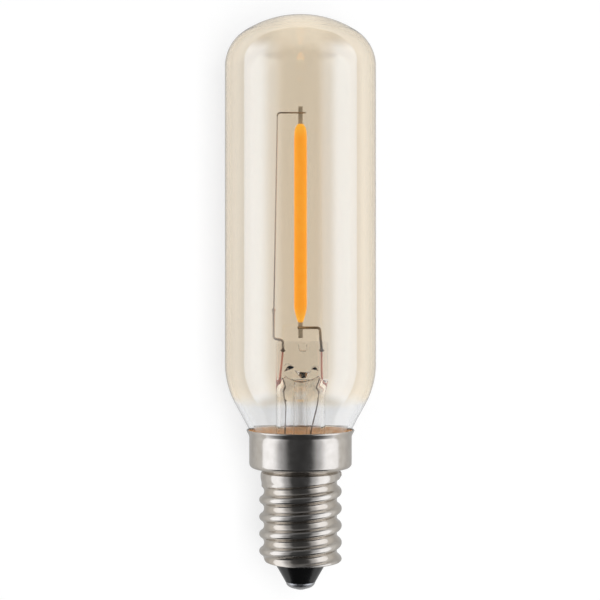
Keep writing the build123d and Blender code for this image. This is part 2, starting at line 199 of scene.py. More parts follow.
# Support wires and the thin lead at the top
knot_z = 39.55
left_knot = Vector((-2.9, 0.0, knot_z))
right_knot = Vector((3.48, 0.0, knot_z))
knot_half_width = 0.42
knot_half_height = 0.26
oxide_rise = 0.2
oxide_fade = 0.3
oxide_low_z = knot_z + oxide_rise
oxide_high_z = oxide_low_z + oxide_fade
support_bend = 0.6
post = Vector((-4.45, -0.27, 0.0))
post_foot_z = 41.5
post_top_z = 46.4
step_rise = 1.7
left_support_r = 0.21
weld_y = -0.1
weld_z = 46.2
weld_r = 0.34
arm_x = 3.22
arm_z = 43.3
arm_end_x = -0.5
right_support_r = 0.22
lead_y = 0.06
lead_foot_z = 44.7
lead_top_x = -3.83
lead_top_z = 78.94
lead_end_x = 0.85
lead_r = 0.125
heat_low_z = 78.2
heat_high_z = 78.6

# Wires sealed in the press, and the leads below them
seal_r = 0.15
seal_bend = 1.2
left_seal_route = [(-3.5, 0.0, 32.9), (-3.25, 0.0, 36.0), left_knot]
right_seal_route = [(3.7, 0.0, 32.7), (3.5, 0.0, 36.0), right_knot]
outer_r = 0.12
left_outer_bend = 1.0
left_outer_route = [(-2.8, 0.97, 18.45), (-2.8, 0.97, 20.25), (-2.4, 0.0, 30.4), (-2.95, 0.0, 33.2),
                    (-2.95, 0.0, 35.0)]
right_outer_bend = 1.5
right_outer_route = [(1.6, 0.97, 18.45), (1.6, 0.97, 20.25), (1.75, 0.45, 26.2), (2.8, 0.0, 30.6),
                     (3.1, 0.0, 33.0), (3.24, 0.0, 35.0)]
joint_place = (-2.48, 0.0, 31.4)
joint_half_width = 0.24
joint_half_height = 0.2

# Studio: the room that mirrors and glass see, with its brightness by azimuth from the camera
room_r = 900.0
room_mid_z = 50.0
room_strength = 1.5
room_levels = ((-180, 0.35), (-128, 0.57), (-84, 1.58), (-66, 1.55), (-42, 0.5), (-24, 0.07), (0, 0.05),
               (23, 0.07), (41, 0.64), (62, 1.5), (82, 1.5), (128, 0.57), (180, 0.35))
room_tint = (1.0, 1.04, 1.12, 1.0)
ceiling_start = 450.0
ceiling_end = 800.0
ceiling_shade = (0.12, 0.12, 0.12)
floor_end = -630.0
floor_start = -460.0
floor_shade = (0.03, 0.03, 0.03)

# Studio: the white wall behind the lamp, with its brightness to the camera, mirrors and glass; to mirrors
# and glass its brightness carries a painted shadow of the lamp
wall_y = 14.5
wall_half = 300.0
wall_matt = (0.32, 0.32, 0.32, 1.0)
wall_seen = 0.73
# Painted shadow: mirrors see the wall darker within mirror_start of the middle, lighter again by mirror_end
wall_mirror_middle = 0.28
wall_mirror_side = 0.52
mirror_start = 15.0
mirror_end = 60.0
# Painted shadow: through the glass the wall is lighter in a middle column and low down, darker at the sides
wall_middle = 0.48
wall_side = 0.3
wall_foot = 0.12
column_start = 3.0
column_end = 7.5
low_start = 27.5
low_end = 33.0
low_share = 0.95

# Studio: ambient light, and the camera with its place in metres
ambient_colour = (0.98, 0.99, 1.0, 1.0)
ambient_level = 0.4
light_bounces = 32
aim = Vector((0.0, 0.0, 0.05))
camera_place = (-0.00008, -0.235, 0.0479)
camera_lens = 85.0
camera_sensor = 36.0


# Helpers for shapes
def arc(cx, cz, radius, start, end, steps):
    """Points of an arc in the (r, z) half plane, angles in degrees from +r."""
    points = []
    for i in range(steps + 1):
        a = math.radians(start + (end - start) * i / steps)
        points.append((cx + radius * math.cos(a), cz + radius * math.sin(a)))
    return points


def line(start, end, steps):
    """Points between two ends, without the ends."""
    return [tuple(s + (e - s) * i / steps for s, e in zip(start, end)) for i in range(1, steps)]


def ease(low, high, value):
    """A smooth step from 0 to 1."""
    t = min(max((value - low) / (high - low), 0.0), 1.0)
    return t * t * (3.0 - 2.0 * t)


def lathe(profile, segments, centre=(0.0, 0.0)):
    """Rings of points for a profile of (r, z) pairs; a pair on the axis becomes a pole."""
    rings = []
    for r, z in profile:
        if r < 1e-6:
            rings.append([(centre[0], centre[1], z)])
        else:
            turn = [2.0 * math.pi * i / segments for i in range(segments)]
            rings.append([(centre[0] + r * math.cos(a), centre[1] + r * math.sin(a), z) for a in turn])
    return rings


def rings_mesh(name, groups, wrap=False):
    """A smooth mesh from groups of rings; each group is one closed skin."""
    bm = bmesh.new()
    for rings in groups:
        rows = [[bm.verts.new(Vector(p) * MM) for p in ring] for ring in rings]
        pairs = list(zip(rows, rows[1:]))
        if wrap:
            pairs.append((rows[-1], rows[0]))
        for a, b in pairs:
            count = max(len(a), len(b))
            for i in range(count):
                j = (i + 1) % count
                corners = [a[i % len(a)], a[j % len(a)], b[j % len(b)], b[i % len(b)]]
                bm.faces.new(list(dict.fromkeys(corners)))
    bmesh.ops.recalc_face_normals(bm, faces=bm.faces)
    for face in bm.faces:
        face.smooth = True
    mesh = bpy.data.meshes.new(name)
    bm.to_mesh(mesh)
    bm.free()
    return mesh


def put(mesh, node, material, sharp=None):
    """Links a mesh as the piece that stands for a node; edges over the sharp angle stay sharp."""
    mesh.materials.append(material)
    if sharp:
        mesh.set_sharp_from_angle(angle=math.radians(sharp))
    piece = bpy.data.objects.new(mesh.name, mesh)
    bpy.context.scene.collection.objects.link(piece)
    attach(piece, "root")
    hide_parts(node)


def rounded_path(points, bend_r, steps=8):
    """A route through points with each corner turned into a smooth bend."""
    points = [Vector(p) for p in points]
    path = [points[0]]
    for before, corner, after in zip(points, points[1:], points[2:]):
        into = (before - corner).normalized()
        out = (after - corner).normalized()
        half = into.angle(out) / 2.0
        run = min(bend_r / math.tan(half), (before - corner).length / 2.0, (after - corner).length / 2.0)
        start = corner + into * run
        end = corner + out * run
        for i in range(steps + 1):
            t = i / steps
            path.append(start * (1 - t) ** 2 + corner * 2 * t * (1 - t) + end * t ** 2)
    path.append(points[-1])
    return path


def tube(path, radius, sides=16):
    """Rings along a path; radius is a number or a function of the distance along it."""
    path = [Vector(p) for p in path]
    side = None
    travelled = 0.0
    rings = []
    for i, p in enumerate(path):
        ahead = path[min(i + 1, len(path) - 1)]
        behind = path[max(i - 1, 0)]
        heading = (ahead - behind).normalized()
        if side is None:
            side = heading.orthogonal().normalized()
        side = (side - heading * side.dot(heading)).normalized()
        other = heading.cross(side)
        travelled += (p - behind).length if i else 0.0
        r = radius(travelled) if callable(radius) else radius
        ring = []
        for k in range(sides):
            a = 2.0 * math.pi * k / sides
            ring.append(tuple(p + side * (r * math.cos(a)) + other * (r * math.sin(a))))
        rings.append(ring)
    return [[tuple(path[0])]] + rings + [[tuple(path[-1])]]


def bead(centre, half_width, half_height, steps=10, sides=20):
    """Rings of a small flattened ball, such as a weld."""
    x, y, z = centre
    profile = []
    for i in range(steps + 1):
        a = math.pi * i / steps
        profile.append((half_width * math.sin(a), z - half_height * math.cos(a)))
    profile[0] = (0.0, profile[0][1])
    profile[-1] = (0.0, profile[-1][1])
    return lathe(profile, sides, (x, y))


# Materials
class Shader:
    """A node material with short calls for the nodes used here."""

    def __init__(self, name):
        self.material = bpy.data.materials.new(name)
        self.material.use_nodes = True
        self.nodes = self.material.node_tree.nodes
        self.links = self.material.node_tree.links
        self.surface = self.nodes["Principled BSDF"]
        self.place = self.nodes.new("ShaderNodeTexCoord").outputs["Object"]

    def set(self, **values):
        """Sets sockets of the surface; an underscore in a name stands for a space."""
        for key, value in values.items():
            self.surface.inputs[key.replace("_", " ")].default_value = value

    def plug(self, output, *names):
        """Feeds an output to the named sockets of the surface."""
        for name in names:
            self.links.new(output, self.surface.inputs[name])

    def stretch(self, scale):
        """The place on the object, scaled along each axis."""
        mapping = self.nodes.new("ShaderNodeMapping")
        mapping.inputs["Scale"].default_value = scale
        self.links.new(self.place, mapping.inputs["Vector"])
        return mapping.outputs["Vector"]

    def noise(self, scale, detail, stretch=(1.0, 1.0, 1.0)):
        """Soft noise from 0 to 1, with its scale in features to the metre."""
        texture = self.nodes.new("ShaderNodeTexNoise")
        texture.inputs["Scale"].default_value = scale
        texture.inputs["Detail"].default_value = detail
        self.links.new(self.stretch(stretch), texture.inputs["Vector"])
        return texture.outputs["Fac"]

    def axis(self, name):
        """One coordinate of the place on the object, in metres."""
        split = self.nodes.new("ShaderNodeSeparateXYZ")
        self.links.new(self.place, split.inputs["Vector"])
        return split.outputs[name]

    def range(self, value, low, high, to_low=0.0, to_high=1.0, smooth=False):
        """Maps the values from low to high to another range, and holds them at its ends."""
        node = self.nodes.new("ShaderNodeMapRange")
        if smooth:
            node.interpolation_type = "SMOOTHSTEP"
        node.inputs["From Min"].default_value = low
        node.inputs["From Max"].default_value = high
        node.inputs["To Min"].default_value = to_low
        node.inputs["To Max"].default_value = to_high
        self.links.new(value, node.inputs["Value"])
        return node.outputs["Result"]

    def step(self, value, low, high, to_low=0.0, to_high=1.0):
        """A smooth step between two lengths in millimetres."""
        return self.range(value, low * MM, high * MM, to_low, to_high, smooth=True)

    def spread(self, value, to_low=0.0, to_high=1.0, margin=0.3):
        """Spreads noise, which keeps near its middle, over a range."""
        return self.range(value, margin, 1.0 - margin, to_low, to_high)

    def math(self, operation, a, b):
        """Joins two outputs or numbers by an operation such as ADD or MULTIPLY."""
        node = self.nodes.new("ShaderNodeMath")
        node.operation = operation
        for socket, value in zip(node.inputs, (a, b)):
            if isinstance(value, (int, float)):
                socket.default_value = value
            else:
                self.links.new(value, socket)
        return node.outputs["Value"]

    def mix(self, factor, a, b):
        """Goes from colour a to colour b with the factor."""
        node = self.nodes.new("ShaderNodeMix")
        node.data_type = "RGBA"
        self.links.new(factor, node.inputs["Factor"])
        for socket, value in zip((node.inputs[6], node.inputs[7]), (a, b)):
            if isinstance(value, tuple):
                socket.default_value = (*value, 1.0)
            else:
                self.links.new(value, socket)
        return node.outputs[2]

    def bump(self, height, strength, distance=0.0002):
        """Tilts the surface by a height, with its distance in metres."""
        node = self.nodes.new("ShaderNodeBump")
        node.inputs["Strength"].default_value = strength
        node.inputs["Distance"].default_value = distance
        self.links.new(height, node.inputs["Height"])
        self.links.new(node.outputs["Normal"], self.surface.inputs["Normal"])


def plain(name, dark, light, scale, rough, metallic=0.0, bump=0.0, **sockets):
    """A surface whose colour and roughness wander between two values."""
    shader = Shader(name)
    grain = shader.noise(scale, 4.0)
    shader.plug(shader.mix(shader.spread(grain), dark, light), "Base Color")
    shader.plug(shader.spread(grain, rough[0], rough[1]), "Roughness")
    shader.set(Metallic=metallic, **sockets)
    if bump:
        shader.bump(grain, bump)
    return shader.material


def coated_glass():
    """Blown glass: a thin amber coat that ends above the neck, clear below it."""
    deep_amber = (0.985, 0.85, 0.65)
    pale_amber = (1.0, 0.885, 0.69)
    bare_glass = (0.87, 0.875, 0.88)
    shader = Shader("coated_glass")
    drift = shader.spread(shader.noise(300.0, 2.0), -coat_drift * MM, coat_drift * MM)
    level = shader.math("ADD", shader.axis("Z"), drift)
    coat = shader.step(level, coat_edge_z - coat_fade, coat_edge_z + coat_fade)
    streak = shader.spread(shader.noise(260.0, 2.0, (1.0, 1.0, 0.08)), margin=0.35)
    amber = shader.mix(streak, deep_amber, pale_amber)
    shader.plug(shader.mix(coat, bare_glass, amber), "Base Color")
    shader.plug(shader.math("MULTIPLY", coat, film_thickness), "Thin Film Thickness")
    shader.set(Roughness=0.0, IOR=1.5, Transmission_Weight=1.0, Thin_Film_IOR=2.0)
    return shader.material


def inner_glass():
    """The clear inside skin of the blown glass, with a faint veil."""
    shader = Shader("inner_glass")
    veil = shader.noise(160.0, 3.0, (1.0, 1.0, 0.2))
    shader.plug(shader.mix(veil, (0.97, 0.975, 0.975), (0.99, 0.99, 0.99)), "Base Color")
    shader.set(Roughness=0.0, IOR=1.5, Transmission_Weight=1.0)
    return shader.material


def stem_glass():
    """Lead glass of the stem and the exhaust tube, with drawn streaks along it."""
    shader = Shader("stem_glass")
    veil = shader.spread(shader.noise(700.0, 3.0, (1.0, 1.0, 0.1)), margin=0.35)
    shader.plug(shader.mix(veil, (0.95, 0.945, 0.94), (0.985, 0.98, 0.975)), "Base Color")
    shader.set(Roughness=0.0, IOR=1.55, Transmission_Weight=1.0)
    shader.bump(shader.noise(900.0, 2.0, (1.0, 1.0, 0.08)), 0.12)
    return shader.material


def nickel():
    """Nickel plate in faint patches, with brown tarnish in the grooves of the thread."""
    dull_plate = (0.55, 0.508, 0.455)
    bright_plate = (0.605, 0.563, 0.51)
    brown = (0.5, 0.42, 0.33)
    shader = Shader("nickel")
    across = shader.nodes.new("ShaderNodeVectorMath")
    across.operation = "LENGTH"
    shader.links.new(shader.stretch((1.0, 1.0, 0.0)), across.inputs[0])
    groove = shader.step(across.outputs["Value"], tarnish_deep_r, tarnish_clean_r, 1.0, 0.0)
    patch = shader.spread(shader.noise(700.0, 3.0), margin=0.35)
    tarnish = shader.math("MULTIPLY", groove, shader.range(patch, 0.0, 1.0, 0.15, 0.5))
    plate = shader.mix(patch, dull_plate, bright_plate)
    shader.plug(shader.mix(tarnish, plate, brown), "Base Color")
    shader.plug(shader.range(patch, 0.0, 1.0, 0.13, 0.2), "Roughness")
    shader.set(Metallic=1.0)
    shader.bump(shader.noise(2600.0, 2.0, (0.12, 0.12, 1.0)), 0.06, 0.00005)
    return shader.material


def wire(name, dark, light):
    """Drawn wire, with dark oxide at its knot and a heated stretch beside the upper weld; a faint glow in
    its own colour is painted light.
    """
    oxide = (0.3, 0.22, 0.15)
    heat_brown = (0.34, 0.24, 0.14)
    shader = Shader(name)
    grain = shader.noise(1500.0, 4.0)
    height = shader.axis("Z")
    clean = shader.step(height, oxide_low_z, oxide_high_z)
    heated = shader.step(height, heat_low_z, heat_high_z)
    drawn = shader.mix(heated, shader.mix(shader.spread(grain), dark, light), heat_brown)
    shader.plug(shader.mix(clean, oxide, drawn), "Base Color", "Emission Color")
    shader.plug(shader.spread(grain, 0.3, 0.45), "Roughness")
    # Painted light: the wire glows faintly in its own colour, standing in for light that reaches it through
    # the glass
    shader.set(Metallic=0.6, Emission_Strength=0.07)
    return shader.material


def black_glass():
    """Black glass with faint flow marks."""
    shader = Shader("black_glass")
    flow = shader.noise(420.0, 3.0, (1.0, 1.0, 0.4))
    shader.plug(shader.mix(flow, (0.0012, 0.0012, 0.0012), (0.004, 0.004, 0.0038)), "Base Color")
    shader.plug(shader.spread(flow, 0.14, 0.26), "Roughness")
    shader.set(IOR=1.5)
    shader.bump(flow, 0.15)
    return shader.material


def phosphor():
    """Orange phosphor in silicone, a little lighter in patches and yellower at its thin ends; it glows in
    its own colour, which is painted light on an unlit lamp.
    """
    deep_orange = (0.98, 0.36, 0.012)
    pale_orange = (1.0, 0.43, 0.03)
    end_yellow = (1.0, 0.5, 0.05)
    shader = Shader("phosphor")
    grain = shader.noise(900.0, 4.0)
    cloud = shader.noise(160.0, 2.0, (1.0, 1.0, 0.35))
    blend = shader.math("ADD", shader.math("MULTIPLY", grain, 0.4), shader.math("MULTIPLY", cloud, 0.6))
    body = shader.mix(shader.spread(blend, margin=0.35), deep_orange, pale_orange)
    middle_z = (phosphor_low.z + phosphor_high.z) / 2.0
    half = (phosphor_high.z - phosphor_low.z) / 2.0
    from_middle = shader.math("ABSOLUTE", shader.math("SUBTRACT", shader.axis("Z"), middle_z * MM), 0.0)
    thin = shader.step(from_middle, half - phosphor_taper, half)
    shader.plug(shader.mix(thin, body, end_yellow), "Base Color", "Emission Color")
    shader.plug(shader.spread(grain, 0.4, 0.55), "Roughness")
    # Painted light: the unlit phosphor glows in its own colour, standing in for light that reaches it
    # through the glass
    shader.set(Emission_Strength=0.8, IOR=1.41)
    shader.set(Subsurface_Weight=0.6, Subsurface_Radius=(1.0, 0.55, 0.12), Subsurface_Scale=0.0006)
    shader.bump(grain, 0.1, 0.0001)
    return shader.material


def cement():
    """Basing cement: warm brown resin with pale filler, which glows in its own colour as painted light."""
    shader = Shader("cement")
    grain = shader.noise(1500.0, 5.0)
    filler = shader.range(shader.noise(300.0, 2.0), 0.5, 0.75)
    resin = shader.mix(shader.spread(grain), (0.92, 0.46, 0.2), (0.98, 0.64, 0.38))
    shader.plug(shader.mix(filler, resin, (0.95, 0.78, 0.6)), "Base Color", "Emission Color")
    shader.plug(shader.spread(grain, 0.45, 0.7), "Roughness")
    # Painted light: the cement glows in its own colour, standing in for light that comes through the glass
    # into the rim
    shader.set(Emission_Strength=0.4)
    shader.bump(grain, 0.4)
    return shader.material


# Shape of the glass envelope
def envelope_profile(inset):
    """The blown outline from crown to neck, moved inwards by the inset."""
    flat = bulb_r - corner_r
    side_z = bulb_top - crown_height
    crown_r = (flat ** 2 + crown_height ** 2 - corner_r ** 2) / (2.0 * (crown_height - corner_r))
    meet = math.degrees(math.atan2(crown_r - crown_height, flat))
    cone_top_r = bulb_r - shoulder_r * (1.0 - math.cos(math.radians(shoulder_angle)))
    cone_top_z = cone_foot_z + (cone_top_r - neck_r) / shoulder_slope
    shoulder_z = cone_top_z + shoulder_r * math.sin(math.radians(shoulder_angle))
    points = arc(0.0, bulb_top - crown_r, crown_r - inset, 90.0, meet, steps=36)
    points[0] = (0.0, bulb_top - inset)
    points += arc(flat, side_z, corner_r - inset, meet, 0.0, steps=36)[1:]
    points += line((bulb_r - inset, side_z), (bulb_r - inset, shoulder_z), steps=16)
    points += arc(bulb_r - shoulder_r, shoulder_z, shoulder_r - inset, 0.0, -shoulder_angle, steps=20)
    end_r, end_z = points[-1]
    neck_top = (neck_r - inset, end_z - (end_r - neck_r + inset) / shoulder_slope)
    points += line(points[-1], neck_top, steps=6) + [neck_top, (neck_r - inset, seal_z)]
    return points


# Shape of the screw shell
def thread_r(turn, z):
    """Radius of the rolled thread at an angle in radians and a height: crest, flat strip or root."""
    both = crest_round + root_round
    flank = math.acos(1.0 - (thread_major_r - thread_minor_r) / both)
    along = (z - crest_z - thread_pitch * turn / (2.0 * math.pi)) % thread_pitch
    from_crest = min(along, thread_pitch - along)
    if from_crest < crest_round * math.sin(flank):
        return thread_major_r - crest_round + math.sqrt(crest_round ** 2 - from_crest ** 2)
    from_strip = max(both * math.sin(flank) - from_crest, 0.0)
    return thread_minor_r + root_round - math.sqrt(root_round ** 2 - from_strip ** 2)


def neck_r_at(turn, z, shift):
    """Radius of the thread and of the rounded neck above its last root, which is moved by whole turns."""
    first_root = crest_z + thread_pitch * (0.5 + turn / (2.0 * math.pi))
    root = first_root + thread_pitch * (math.floor((last_root_z - first_root) / thread_pitch) + shift)
    neck = plain_neck_r - neck_bulge * min(abs(z - neck_mid_z), neck_reach) ** 2
    if z > root + thread_pitch / 2.0:
        return neck
    if z > root:
        return min(thread_r(turn, z), neck)
    return thread_r(turn, z)


def shell_section(turn):
    """The shell's closed section at an angle: outside from lip to rim, then back down the inside."""
    lip_end_r = lip_r + 2 * lip_roll
    points = [(lip_r, foot_z), (lip_r + lip_roll, foot_z - lip_roll), (lip_end_r, foot_z)]
    points += line((lip_end_r, foot_z), (thread_minor_r - foot_round, foot_z), steps=3)
    fade = ease(0.0, run_out, turn)
    for i in range(thread_steps + 1):
        z = foot_z + (collar_z - foot_z) * i / thread_steps
        r = neck_r_at(turn, z, 0)
        if turn < run_out:
            r = neck_r_at(turn, z, 1) * (1.0 - fade) + r * fade
        r -= groove_depth * math.exp(-((z - groove_z) / groove_width) ** 2)
        rise = min((z - foot_z) / foot_round, 1.0)
        points.append((r - foot_round * (1.0 - math.sqrt(1.0 - (1.0 - rise) ** 2)), z))
    points += arc(collar_r - collar_round, collar_z + collar_round, collar_round, -90.0, 0.0, steps=8)
    points += line((collar_r, collar_z + collar_round), (collar_r, flare_z), steps=6)
    points += [(collar_r, flare_z), (collar_r + flare_toe_r, flare_z + flare_toe_rise)]
    points += [(rim_r - rim_inset, rim_z - rim_height)]
    points += arc(rim_r - shell_wall / 2, rim_z - shell_wall / 2, shell_wall / 2, 0.0, 180.0, steps=8)
    points += [(collar_r - shell_wall, flare_z), (collar_r - shell_wall, collar_z + shell_wall)]
    points += [(bore_r, collar_z + shell_wall), (bore_r, foot_z + bore_rise), (lip_r, foot_z + shell_wall)]
    return points


def shell_rings():
    """Rings of the shell, one for each point of its section, which turns with the thread."""
    angles = [2.0 * math.pi * i / shell_turns for i in range(shell_turns)]
    sections = [shell_section(a) for a in angles]
    rings = []
    for points in zip(*sections):
        rings.append([(r * math.cos(a), r * math.sin(a), z) for a, (r, z) in zip(angles, points)])
    return rings


# Shape of the glass stem
def section_ring(half_width, half_depth, corner, z, shift=0.0, count=160):
    """A box outline with rounded corners, one point for each direction; a large corner gives a circle."""
    ring = []
    for i in range(count):
        a = 2.0 * math.pi * (i + 0.5) / count
        c = abs(math.cos(a))
        s = abs(math.sin(a))
        cx = half_width - corner
        cy = half_depth - corner
        if half_width * s <= cy * c:
            reach = half_width / c
        elif half_depth * c <= cx * s:
            reach = half_depth / s
        else:
            along = cx * c + cy * s
            reach = along + math.sqrt(max(along ** 2 - cx ** 2 - cy ** 2 + corner ** 2, 0.0))
        ring.append((reach * math.cos(a) + shift, reach * math.sin(a), z))
    return ring


def round_ring(r, z):
    """A circle with the points of the box outline."""
    return section_ring(r, r, r, z)


def stem_depth(z):
    """Half the stem's depth at a height, from the round tube to the flat press."""
    return stem_r + (press_half_depth - stem_r) * ease(pinch_z, waist_z, z)


def flare_r(t):
    """Radius of the flare's outside, from the tube at t = 0 to its rim at t = 1."""
    return stem_r + (flare_rim_r - stem_r) * (1.0 - math.sqrt(1.0 - t * t))


def cavity_height(x):
    """Height of the cavity's roof: lowest over the exhaust tube, with a fall at the outside."""
    aside = abs(x - press_shift)
    rise = roof_rise * (aside / roof_half_width) ** 2
    return cavity_top + rise - roof_fall * ease(roof_fall_start, roof_fall_end, aside)


def stem_rings(press_steps=70, tube_steps=8, roof_steps=36):
    """Outside of the stem from the press's top to the flare, then up its inside to the cavity's roof."""
    rings = [[(press_shift, 0.0, press_top)]]
    for inset, drop in press_edge:
        rings.append(section_ring(press_half_width - inset, press_half_depth - inset,
                                  press_corner - press_corner_share * inset, press_top - drop, press_shift))
    press_z = press_top - press_edge_drop
    for i in range(press_steps + 1):
        z = press_z - (press_z - pinch_z) * i / press_steps
        pinch = ease(pinch_z, waist_z, z)
        width = stem_r + (press_half_width - stem_r) * pinch
        corner = stem_r + (press_corner - stem_r) * pinch
        rings.append(section_ring(width, stem_depth(z), corner, z, press_shift * pinch))
    for i in range(1, tube_steps + 1):
        rings.append(round_ring(stem_r, pinch_z + (flare_top_z - pinch_z) * i / tube_steps))
    for i in range(1, tube_steps + 1):
        t = i / tube_steps
        rings.append(round_ring(flare_r(t), flare_top_z + (seal_z - flare_top_z) * t))
    for i in range(tube_steps + 1):
        t = 1.0 - i / tube_steps
        rings.append(round_ring(flare_r(t) - stem_wall, flare_top_z + (seal_z - flare_top_z) * t))
    inside = stem_r - stem_wall
    for i in range(1, tube_steps + 1):
        rings.append(round_ring(inside, flare_top_z + (cavity_z - flare_top_z) * i / tube_steps))
    for i in range(1, roof_steps + 1):
        s = math.sin(math.pi / 2.0 * i / roof_steps)
        ring = []
        for x, y, z in round_ring(inside, 0.0):
            x += press_shift * s
            roof = cavity_height(x)
            z = cavity_z + (roof - cavity_z) * s
            close = min(max((z - roof + roof_round) / roof_round, 0.0), 1.0)
            depth = (stem_depth(z) - stem_wall) * math.sqrt(1.0 - close ** 2)
            ring.append((x, y / inside * depth, z))
        rings.append(ring)
    return rings


def bubble(points, thickness, sides=12):
    """Rings of a drawn bubble in the press, thickest at its middle."""
    route = rounded_path([(x, bubble_y, z) for x, z in points], bubble_bend)
    total = sum((b - a).length for a, b in zip(route, route[1:]))
    return tube(route, lambda d: bubble_tip_r + thickness * math.sin(math.pi * min(d / total, 1.0)), sides)


def blister(start, end, top, bottom, lean, steps=24, sides=16):
    """Rings of a flat bubble that leans in the press; its edges are bowed between two (x, z) points."""
    slope = math.tan(math.radians(lean))
    rings = [[(start[0], blister_y, start[1])]]
    for i in range(1, steps):
        t = i / steps
        swell = math.sin(math.pi * t)
        x = start[0] + (end[0] - start[0]) * t
        middle = start[1] + (end[1] - start[1]) * t + (top + bottom) / 2.0 * swell
        half = (top - bottom) / 2.0 * swell
        ring = []
        for k in range(sides):
            a = 2.0 * math.pi * k / sides
            up = half * math.cos(a)
            ring.append((x, blister_y - up * slope + blister_thickness * swell * math.sin(a), middle + up))
        rings.append(ring)
    return rings + [[(end[0], blister_y, end[1])]]


def stem_mesh():
    """The stem's glass with the bubbles in its press, whose skins face the air inside them."""
    mesh = rings_mesh("stem", [stem_rings()])
    marks = rings_mesh("marks", [
        bubble(upper_bubble, upper_bubble_r),
        bubble(left_bubble, side_bubble_r),
        bubble(right_bubble, side_bubble_r),
        blister((-2.73, 36.05), (-1.03, 36.75), top=0.7, bottom=-0.1, lean=side_lean),
        blister((1.8, 36.4), (3.0, 36.15), top=0.6, bottom=0.05, lean=side_lean),
        blister((-0.95, 36.3), (1.78, 36.15), top=-0.2, bottom=-1.35, lean=middle_lean),
    ])
    marks.flip_normals()
    welded = bmesh.new()
    welded.from_mesh(mesh)
    bmesh.ops.remove_doubles(welded, verts=welded.verts, dist=1e-7)
    bmesh.ops.recalc_face_normals(welded, faces=welded.faces)
    welded.from_mesh(marks)
    welded.to_mesh(mesh)
    welded.free()
    bpy.data.meshes.remove(marks)
    return mesh


def tube_profile():
    """The exhaust tube's wall, with a rounded lip at its open top."""
    points = line((tube_r, tube_foot_z), (tube_r, tube_top), steps=16)
    points += arc(tube_r - tube_lip_r, tube_top, tube_lip_r, 0.0, 180.0, steps=8)
    points += line((tube_bore_r, tube_top), (tube_bore_r, tube_foot_z), steps=16)
    return points + [(tube_bore_r, tube_foot_z)]


# Shapes of the nose, the contact, the solder and the cement
def nose_profile():
    """The black nose: a cone from the shell's lip to a rounded end on the contact."""
    top_r = lip_r - nose_fit
    points = [(0.0, foot_z + nose_depth), (top_r, foot_z + nose_depth), (top_r, foot_z)]
    points += line((top_r, foot_z), (nose_end_r, nose_end_z), steps=8)
    points += arc(nose_end_r - nose_round, nose_end_z, nose_round, 0.0, -90.0, steps=4)
    return points + [(0.0, nose_end_z - nose_round)]


def dish_profile(steps=8):
    """The contact: a bevelled edge and a dish below it."""
    bowl_z = dish_high.z - dish_bevel_z
    points = [(0.0, dish_high.z), (dish_edge_r - dish_bevel_r, dish_high.z), (dish_edge_r, bowl_z)]
    for i in range(1, steps + 1):
        t = i / steps
        sink = (bowl_z - dish_low.z) * math.sin(t * math.pi / 2)
        points.append((dish_edge_r * math.cos(t * dish_turn), bowl_z - sink))
    return points + [(0.0, dish_low.z)]


def drop_profile():
    """The solder: a flat drop with a round edge."""
    points = [(0.0, solder_high.z), (drop_r * drop_top_share, solder_high.z)]
    points += arc(drop_r - drop_round, solder_low.z + drop_round, drop_round, 0.0, -80.0, steps=5)
    return points + [(0.0, solder_low.z)]


def cement_profile():
    """The cement between the neck and the collar, drawn up a little at the rim."""
    glass_side_r = neck_r + cement_fit
    collar_side_r = collar_r - shell_wall - cement_fit
    foot = seal_z + cement_foot_rise
    points = [(glass_side_r, foot), (glass_side_r, cone_foot_z)]
    points += [(glass_side_r + (cement_top - cone_foot_z) * shoulder_slope, cement_top)]
    points += [(rim_r - shell_wall - meniscus_gap, cement_top + meniscus_rise)]
    return points + [(collar_side_r, flare_z + cement_shoulder_rise), (collar_side_r, foot)]


# Shapes of the filament
def phosphor_profile():
    """The phosphor coat: a long body with a tapered lower end and a rounder upper end."""
    low_z = phosphor_low.z
    high_z = phosphor_high.z
    points = [(0.0, low_z)]
    for i in range(phosphor_steps + 1):
        z = low_z + phosphor_end_gap + (high_z - low_z - 2 * phosphor_end_gap) * i / phosphor_steps
        above = min((z - low_z) / phosphor_taper, 1.0)
        below = min((high_z - z) / phosphor_taper, 1.0)
        swell = math.sin(math.pi / 2.0 * above) * math.sqrt(1.0 - (1.0 - below) ** 3)
        points.append((phosphor_end_r + (phosphor_r - phosphor_end_r) * swell, z))
    return points + [(0.0, high_z)]


def strip_mesh(name, node):
    """A stamped strip with softened edges, the size of its node."""
    low, high = span(node)
    bm = bmesh.new()
    bmesh.ops.create_cube(bm, size=1.0)
    for v in bm.verts:
        v.co = Vector([low[k] + (v.co[k] + 0.5) * (high[k] - low[k]) for k in range(3)]) * MM
    bmesh.ops.bevel(bm, geom=bm.edges[:], offset=strip_round * MM, segments=3, affect="EDGES", profile=0.5)
    for face in bm.faces:
        face.smooth = True
    mesh = bpy.data.meshes.new(name)
    bm.to_mesh(mesh)
    bm.free()
    return mesh


# Envelope, coated on its outside
envelope_points = envelope_profile(0.0) + envelope_profile(glass_wall)[::-1]
envelope_mesh = rings_mesh("envelope", [lathe(envelope_points, glass_sides)])
put(envelope_mesh, "glass_envelope", coated_glass())
envelope_mesh.materials.append(inner_glass())
for face in envelope_mesh.polygons:
    inward = face.normal.x * face.center.x + face.normal.y * face.center.y < 0.0
    dome = face.center.z > (bulb_top - crown_height) * MM and face.normal.z < 0.0
    face.material_index = 1 if inward or dome else 0

# Stem and exhaust tube
stem_skin = stem_glass()
put(stem_mesh(), "stem_flare", stem_skin)
exhaust = rings_mesh("exhaust", [lathe(tube_profile(), segments=48)], wrap=True)
put(exhaust, "exhaust_tube", stem_skin, sharp=40.0)

